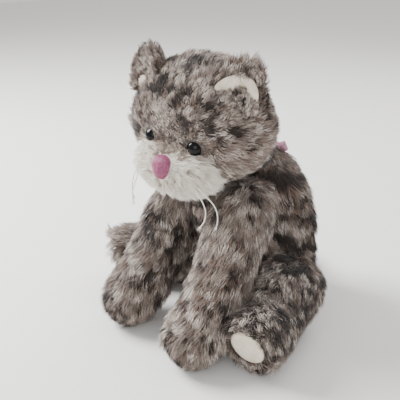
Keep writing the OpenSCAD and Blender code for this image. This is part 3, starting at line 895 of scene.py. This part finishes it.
def hair_piece(name, p, n, start, end, size, shades, hairs, clump, width, radius, materials, rng):
    """One mesh of ribbon hairs. Each tuft's hairs lean towards their tuft's own tip."""
    tufts = len(p)
    side_a = tangent(np.roll(n, 1, axis=1) + 0.01, n)
    side_b = np.cross(n, side_a)
    count = tufts * hairs
    tuft = np.repeat(np.arange(tufts), hairs)
    angle, out = rng.uniform(0, 2 * math.pi, count), np.sqrt(rng.random(count)) * radius
    offset = side_a[tuft] * (np.cos(angle) * out)[:, None] + side_b[tuft] * (np.sin(angle) * out)[:, None]
    roots = p[tuft] + offset
    first = unit(start[tuft] + offset * (0.16 / radius) + rng.normal(0, 0.13, (count, 3)))
    last = unit(end[tuft] + rng.normal(0, 0.2, (count, 3)))
    reach = (size[tuft] * rng.uniform(0.7, 1.08, count))[:, None]
    middle = unit(first + last)
    line = [roots - n[tuft] * 0.8 * MM]
    centre_line = [p - n * 0.8 * MM]
    for way, tuft_way, share in ((first, start, 0.36), (middle, unit(start + end), 0.34), (last, end, 0.3)):
        line.append(line[-1] + way * reach * share)
        centre_line.append(centre_line[-1] + tuft_way * size[:, None] * share)
    for i, pull in enumerate((0, 0.12, 0.45, 0.8)):
        line[i] = line[i] + (centre_line[i][tuft] - line[i]) * pull * clump
        low = line[i][:, 2] < FLOOR_CLEAR
        line[i][low, 2] = FLOOR_CLEAR + 0.3 * MM * rng.random(low.sum())
    roll = rng.uniform(-0.9, 0.9, count)[:, None]
    verts = np.zeros((count, 7, 3))
    across = unit(np.cross(middle, n[tuft]))
    across = across * np.cos(roll) + np.cross(middle, across) * np.sin(roll)
    thick = (width * rng.uniform(0.7, 1.15, count))[:, None] / 2
    for i, share in enumerate((0.9, 1.0, 0.66)):
        verts[:, 2 * i] = line[i] - across * thick * share
        verts[:, 2 * i + 1] = line[i] + across * thick * share
    verts[:, 6] = line[3]
    verts[:, :, 2] = np.maximum(verts[:, :, 2], FLOOR_CLEAR / 2)
    corners = (np.array([0, 1, 3, 2, 2, 3, 5, 4, 4, 5, 6])[None] + 7 * np.arange(count)[:, None]).ravel()
    starts = (np.array([0, 4, 8])[None] + 11 * np.arange(count)[:, None]).ravel()
    mesh = bpy.data.meshes.new(name)
    mesh.vertices.add(count * 7)
    mesh.vertices.foreach_set("co", verts.ravel())
    mesh.loops.add(len(corners))
    mesh.loops.foreach_set("vertex_index", corners)
    mesh.polygons.add(len(starts))
    mesh.polygons.foreach_set("loop_start", starts)
    for material in materials:
        mesh.materials.append(material)
    mesh.polygons.foreach_set("material_index", hair_shades(shades[tuft], rng).ravel())
    mesh.update()
    mesh.validate()
    obj = bpy.data.objects.new(name, mesh)
    bpy.context.scene.collection.objects.link(obj)
    return obj


def hair_shades(kinds, rng):
    """Material numbers of each hair's root, middle and tip. A stray tuft takes its neighbour's three."""
    picks = kinds.copy()
    stray = rng.random(len(kinds)) < 0.3
    picks[stray] = np.roll(kinds, 1, axis=0)[stray]
    return picks.astype(np.int32)


def pick(rng, choices, count):
    return np.array(choices)[rng.integers(0, len(choices), count)]


def brindle(marks):
    """Shades of brindle pile: taupe hairs whose darker roots are painted shade, pale tips, and dark ones where
    marks(p, n) is high.
    """
    def shades(p, n, rng):
        count = len(p)
        strength = marks(p, n) + rng.normal(0, 0.07, count)
        root, middle, tip = pick(rng, SHADED_ROOT, count), pick(rng, MIDDLE, count), pick(rng, LIGHT + MIDDLE[:3], count)
        warm = noise(p, 30 * MM, 21) > 0.6
        middle[warm] = MIDDLE[3]
        pale = strength < 0.02
        root[pale] = pick(rng, MIDDLE, count)[pale]
        middle[pale] = pick(rng, LIGHT, count)[pale]
        dark_tip = strength > 0.48
        tip[dark_tip] = pick(rng, DARK, count)[dark_tip]
        dark_middle = strength > 0.6
        middle[dark_middle] = pick(rng, DARK[1:], count)[dark_middle]
        return np.stack([root, middle, tip], axis=1)
    return shades


def whites(p, n, rng):
    count = len(p)
    # Roots take the darker whites as painted shade deep in the pile; middles and tips are lighter.
    root, middle, tip = pick(rng, (0, 1, 4), count), pick(rng, (1, 2), count), pick(rng, (2, 3, 3), count)
    return np.stack([root, middle, tip], axis=1)


TREES = {name: tree_of(skin) for name, skin in SKINS.items()}
TREES.update({side + "_lining": tree_of(lining) for side, lining in LININGS.items()})
TREES["nose"] = tree_of(NOSE)
for tree_name in ("left_lining", "right_lining", "nose"):
    BODY_OF_SKIN[tree_name] = "head"


def towards(way):
    return lambda p, n: np.broadcast_to(np.asarray(way, float), p.shape)


def even(size):
    return lambda p, n: np.full(len(p), size)


def torso_marks(p, n):
    """Broken rings round the back and flanks, fading on the chest."""
    height = p[:, 2] + 0.35 * p[:, 1]
    wander = noise(p, 34 * MM, 3) * 7
    rings = 0.5 + 0.5 * np.sin(height / (3.4 * MM) + wander)
    broken = noise(p, 7 * MM, 4)
    back = np.clip((p[:, 1] + 0.05) / 0.06, 0, 1)
    return 0.42 * rings + 0.42 * broken + 0.16 * back


def patches(cell, seed, level, stretch=(1, 1, 1)):
    """Irregular dark patches over about a share of the surface that grows with level."""
    def marks(p, n):
        q = p / np.array(stretch)
        return level + 0.95 * (noise(q, cell, seed) - 0.5) + 0.6 * (noise(q, cell / 2.4, seed + 1) - 0.5)
    return marks


def gap_to(tree, p, reach=0.05):
    """How far each point is from a surface, up to reach."""
    return np.array([(tree.find_nearest(q, reach)[3] or 0) if tree.find_nearest(q, reach)[0] else reach for q in p])


def eye_gap(p):
    return np.minimum(*(line_distance(p, *eye_line(side)) for side in SIDES))


def ramp(value, low, high):
    """0 at low, 1 at high."""
    return np.clip((value - low) / (high - low), 0, 1)


def face(p):
    """1 on the front of the head, 0 behind it."""
    return ramp(in_head(p)[:, 1], 8, 34)


def head_length(p, n):
    """Long on the crown and cheeks, short on the face and shortest on the bridge and round the eyes."""
    q = in_head(p)
    cheek = ramp(np.abs(q[:, 0]), 28, 46) * ramp(-q[:, 2], -24, 0)
    size = 13 - 4.5 * face(p) + 5 * cheek
    bridge = face(p) * ramp(26 - np.abs(q[:, 0]), 0, 12) * ramp(20 - q[:, 2], 0, 16)
    size = size * (1 - 0.55 * bridge)
    by_eye = 1.6 + np.maximum(eye_gap(p) / MM - 8.5, 0) * 0.62
    above_collar = (p - NECK) @ NECK_WAY / MM
    size = np.minimum(size, 3.5 + 0.32 * np.maximum(above_collar, 0))
    return np.where(face(p) > 0, np.minimum(size, by_eye), size) * MM


def head_keep(p, n):
    clear_of_eye = (eye_gap(p) > 7.8 * MM) | (face(p) == 0)
    collar = (p - NECK) @ NECK_WAY > 1.5 * MM
    return clear_of_eye & (muzzle_gap(p) > 4 * MM) & collar


def muzzle_gap(p):
    """How far outside the muzzle each point is, and 0 inside it."""
    return np.where(inside(TREES["muzzle"], p), 0, gap_to(TREES["muzzle"], p))


def cheek_keep(p, n):
    gap = muzzle_gap(p)
    return (gap > 0) & (gap <= 4 * MM) & (eye_gap(p) > 7.8 * MM)


def inside(tree, p):
    """Whether each point lies within a closed surface."""
    out = np.zeros(len(p), bool)
    for i, q in enumerate(p):
        place, normal, _, _ = tree.find_nearest(q)
        out[i] = (Vector(q) - place).dot(normal) < 0
    return out


def head_comb(p, n):
    """Away from the nose and the eyes over the face, and back and down over the crown and cheeks."""
    q = in_head(p)
    outward = unit(p - NOSE_CENTRE)
    side_flow = HEAD_X * np.sign(q[:, :1]) * 0.5 * ramp(np.abs(q[:, 0]), 20, 45)[:, None]
    flow = outward + side_flow - UP * 0.35 * ramp(q[:, 1:2], 10, -30)
    for side in SIDES:
        eye, way = eye_line(side)
        near = np.exp(-(line_distance(p, eye, way) / (13 * MM)) ** 2) * face(p)
        flow = flow + tangent(p - eye, n) * 2.2 * near[:, None]
        middle, _, up, front = ear_frame(side)
        below = middle - up * 14 * MM + front * 5 * MM
        by_ear = np.exp(-(np.linalg.norm(p - below, axis=1) / (16 * MM)) ** 2)
        flow = flow + up * 2.5 * by_ear[:, None]
    return flow


def blob(q, place, size):
    """1 at a place in the head's x, forward and up, fading over its size."""
    return np.exp(-np.sum(((q - np.array(place)) / np.array(size)) ** 2, axis=1))


def streak(q, start, end, width):
    """1 along the line between two places in the head's own axes, fading over its width."""
    a, b = np.array(start, float), np.array(end, float)
    share = np.clip((q - a) @ (b - a) / ((b - a) @ (b - a)), 0, 1)
    gap = np.linalg.norm(q - (a + share[:, None] * (b - a)), axis=1)
    return np.exp(-(gap / width) ** 2)


BROW = [(-49, 26, 8), (-36, 31, 22), (-24, 34, 28), (-8, 38, 24), (10, 42, 17), (14, 43, 8)]
SIDE_MARKS = [
    ((30, 30, 32), (29, 39, 10), 3.5), ((29, 39, 9), (44, 30, 7), 2.2), ((-50, 22, 18), (-56, 14, -26), 6),
    ((24, 14, 40), (50, 4, 23), 4), ((8, 38, 32), (9, 36, 26), 4), ((56, -2, 22), (56, -4, 14), 5),
    ((44, -10, 36), (30, -16, 46), 5), ((-30, 10, 44), (-14, 16, 48), 5)]


def head_marks(p, n):
    """A dark arc over the brow, a few streaks and spots, and a pale blaze up the bridge."""
    q = in_head(p)
    wander = (np.stack([noise(p, 9 * MM, s) for s in (51, 52, 53)], axis=1) - 0.5) * 9
    marks = patches(6 * MM, 41, 0.33)(p, n)
    dark = np.zeros(len(p))
    for a, b in zip(BROW, BROW[1:]):
        dark = np.maximum(dark, streak(q + wander, a, b, 4.2))
    for a, b, width in SIDE_MARKS:
        dark = np.maximum(dark, streak(q + wander, a, b, width))
    dark = np.maximum(dark, blob(q + wander, (-3, 16, 48), (13, 12, 9)))
    blaze = np.maximum(blob(q, (-8, 44, 8), (14, 12, 13)), blob(q, (4, 44, -8), (9, 12, 12)))
    cheek = blob(q, (50, 20, -14), (16, 16, 12))
    return marks + 0.6 * dark - 0.85 * blaze - 0.22 * cheek + 0.08 * ramp(-q[:, 1], -5, 25)


def muzzle_keep(p, n):
    return (gap_to(TREES["nose"], p, 0.02) > 0.8 * MM) & ~inside(TREES["head"], p)


def muzzle_shades(p, n, rng):
    """White, with taupe hairs among them on top, between the eyes."""
    shades = whites(p, n, rng)
    q = in_head(p)
    taupe = (q[:, 2] + rng.normal(0, 2.5, len(p)) > -18) & (np.abs(q[:, 0]) < 40)
    shades[taupe] = (5, 5, 6)
    return shades


def muzzle_length(p, n):
    """Short by the nose, long on the cheeks, less under the chin."""
    away = np.linalg.norm(p - NOSE_CENTRE, axis=1)
    chin = ramp(-in_head(p)[:, 2], 38, 50)
    return np.minimum(5 * MM + 0.6 * np.maximum(away - 9 * MM, 0), (18 - 7 * chin) * MM)


def muzzle_comb(p, n):
    q = in_head(p)
    return unit(p - NOSE_CENTRE) + HEAD_X * np.sign(q[:, :1]) * 0.5 - UP * 0.2


def ear_keep(side):
    def keep(p, n):
        return (gap_to(TREES[side + "_lining"], p, 0.02) > 0.8 * MM) & ~inside(TREES["head"], p)
    return keep


def tuft_keep(side):
    return lambda p, n: (n @ ear_frame(side)[3] > 0.3) & tufted(side, *in_lining(side, p))


def ear_comb(side):
    """Up and away from the crown."""
    return lambda p, n: unit(p - HEAD_CENTRE) + HEAD_UP * 0.9 - HEAD_X * side_of(side) * 0.25


def ear_length(side):
    """Longest over the inner side of the rim, where it stands up."""
    front, more = ear_frame(side)[3], 9 if side == "left" else 2

    def length(p, n):
        x, z = in_lining(side, p)
        return (8 - 3.5 * ramp(n @ front, 0, 0.6) + more * ramp(6 - x, 0, 14) * ramp(z, 0, 12)) * MM
    return length


def sole_share(side, p):
    """How far out each point is from the sole's middle: 1 at the sole's edge, and large far behind the sole."""
    middle, normal, across, along, half = flat_frame(side + "_foot_pad", np.array([0, -1, -0.2]))
    d = p - middle
    share = np.hypot(d @ across / half[0], d @ along / half[1])
    return share + 9 * (np.abs(d @ normal) > 9 * MM)


def leg_comb(side):
    out = side_of(side)
    hip = np.array(JOINTS[side + "_hip"]["pos_m"])

    def comb(p, n):
        middle = flat_frame(side + "_foot_pad", np.array([0, -1, -0.2]))[0]
        to_foot = unit(middle - hip)
        haunch = ramp(-(p - hip) @ to_foot, -0.07, 0.0)[:, None]
        round_haunch = unit(p - hip - np.array([out * 0.03, 0, 0.01])) * haunch
        flare = unit(p - middle) * ramp(1.9 - sole_share(side, p), 0, 0.6)[:, None]
        fall = 0.25 if side == "left" else 0.7
        return to_foot + round_haunch * 0.9 + flare * 1.2 - UP * fall
    return comb


def leg_length(side):
    """Shorter round the left sole and behind the haunches, long on the right toes."""
    by_sole = -7.5 if side == "left" else 3

    def length(p, n):
        behind = ramp(p[:, 1], 0, 30 * MM)
        return (14 - 3 * behind + by_sole * ramp(1.7 - sole_share(side, p), 0, 0.6)) * MM
    return length


def arm_length(p, n):
    """Long down the arm, shorter where the paw rests."""
    return (9 + 7.5 * ramp(p[:, 2], 12 * MM, 34 * MM)) * MM


def arm_comb(side):
    shoulder = np.array(JOINTS[side + "_shoulder"]["pos_m"])
    paw = centre(side + "_paw_pad")

    def comb(p, n):
        down = unit(paw - shoulder + np.array([0, -0.02, 0]))
        toes = ramp((p - shoulder) @ down, 0.105, 0.125)[:, None]
        return down * (1 - 0.4 * toes) + n * 0.2 - UP * 0.15 + np.array([0, -0.5, 0]) * toes
    return comb


def clear_of_collar(p, n):
    height = (p - NECK) @ NECK_WAY
    return height < -6.5 * MM


def torso_length(p, n):
    """Pressed down just under the collar."""
    height = -((p - NECK) @ NECK_WAY)
    upper_back = ramp(p[:, 1], -25 * MM, 0) * ramp(p[:, 2], 75 * MM, 95 * MM)
    return (4.5 + (10.5 + 4 * upper_back) * ramp(height, 7 * MM, 22 * MM)) * MM


def make_pile():
    pile("torso_pile", "torso", "torso", "brindle_plush", BRINDLE, 4.1 * MM, 24, towards((0, 0.25, -1)),
         torso_length, brindle(torso_marks), keep=clear_of_collar, parts=2)
    pile("tail_pile", "tail", "torso", "brindle_plush", BRINDLE, 4 * MM, 20, towards((-1, -0.2, -0.3)),
         even(11 * MM), brindle(patches(10 * MM, 61, 0.47)))
    pile("head_pile", "head", "head", "brindle_plush", BRINDLE, 3.5 * MM, 24, head_comb, head_length,
         brindle(head_marks), keep=head_keep, beside=("left_ear", "right_ear", "nose"), droop=0.1, parts=2)
    pile("cheek_pile", "head", "head", "white_plush", WHITE, 2.6 * MM, 22, muzzle_comb, even(7 * MM), muzzle_shades,
         keep=cheek_keep, beside=("nose",), droop=0.1)
    pile("muzzle_pile", "muzzle", "head", "white_plush", WHITE, 2.3 * MM, 22, muzzle_comb,
         muzzle_length, muzzle_shades, keep=muzzle_keep, beside=("nose",), lift=0.62, droop=0.15, clump=0.7,
         width=0.46 * MM)
    levels = {"left_arm": 0.3, "right_arm": 0.42, "left_leg": 0.42, "right_leg": 0.34}
    for number, limb in enumerate(LIMBS):
        side, kind = limb.split("_")
        comb = arm_comb(side) if kind == "arm" else leg_comb(side)
        length = arm_length if kind == "arm" else leg_length(side)
        keep = None if kind == "arm" else lambda p, n: sole_share(side, p) > 1.0
        pile(limb + "_pile", limb, limb, "brindle_plush", BRINDLE, 3.9 * MM, 24, comb, length,
             brindle(patches(7 * MM, 70 + 3 * number, levels[limb], (1, 1, 1.4))), keep=keep)
    for side, tuft, level in (("left", 7.5 * MM, 0.4), ("right", 8 * MM, 0.3)):
        pile(side + "_ear_pile", side + "_ear", "head", "brindle_plush", BRINDLE, 2.6 * MM, 18,
             ear_comb(side), ear_length(side), brindle(patches(7 * MM, 91, 0.36)), keep=ear_keep(side), droop=0.0)
        pile(side + "_ear_tufts", side + "_lining", "head", "brindle_plush", BRINDLE, 1.5 * MM, 20,
             towards(ear_frame(side)[2]), even(tuft), brindle(patches(7 * MM, 93, level)),
             keep=tuft_keep(side), lift=0.8, droop=0.0)


make_pile()


# ---------------------------------------------------------------- stage

# Name, place in metres, side in metres, watts
LIGHTS = [
    ("key", (-0.9, -0.6, 1.0), 0.7, 52), ("fill", (1.1, -0.9, 0.8), 1.0, 9), ("rim", (-0.2, 1.0, 0.9), 0.8, 7)]


def make_stage():
    floor = add_mesh("floor", [(-3, -3, 0), (3, -3, 0), (3, 3, 0), (-3, 3, 0)], [(0, 1, 2, 3)],
                     [new_material("floor_paint", (238, 236, 234), 0.7)])
    world = bpy.data.worlds.new("studio")
    bpy.context.scene.world = world
    world.use_nodes = True
    world.node_tree.nodes["Background"].inputs["Color"].default_value = srgb(240, 239, 238)
    world.node_tree.nodes["Background"].inputs["Strength"].default_value = 1.0
    for name, place, size, power in LIGHTS:
        data = bpy.data.lights.new(name, "AREA")
        data.energy, data.size = power, size
        light = bpy.data.objects.new(name, data)
        light.location = place
        light.rotation_euler = (Vector(place) - Vector((0, -0.06, 0.1))).to_track_quat("Z", "Y").to_euler()
        bpy.context.scene.collection.objects.link(light)


make_stage()
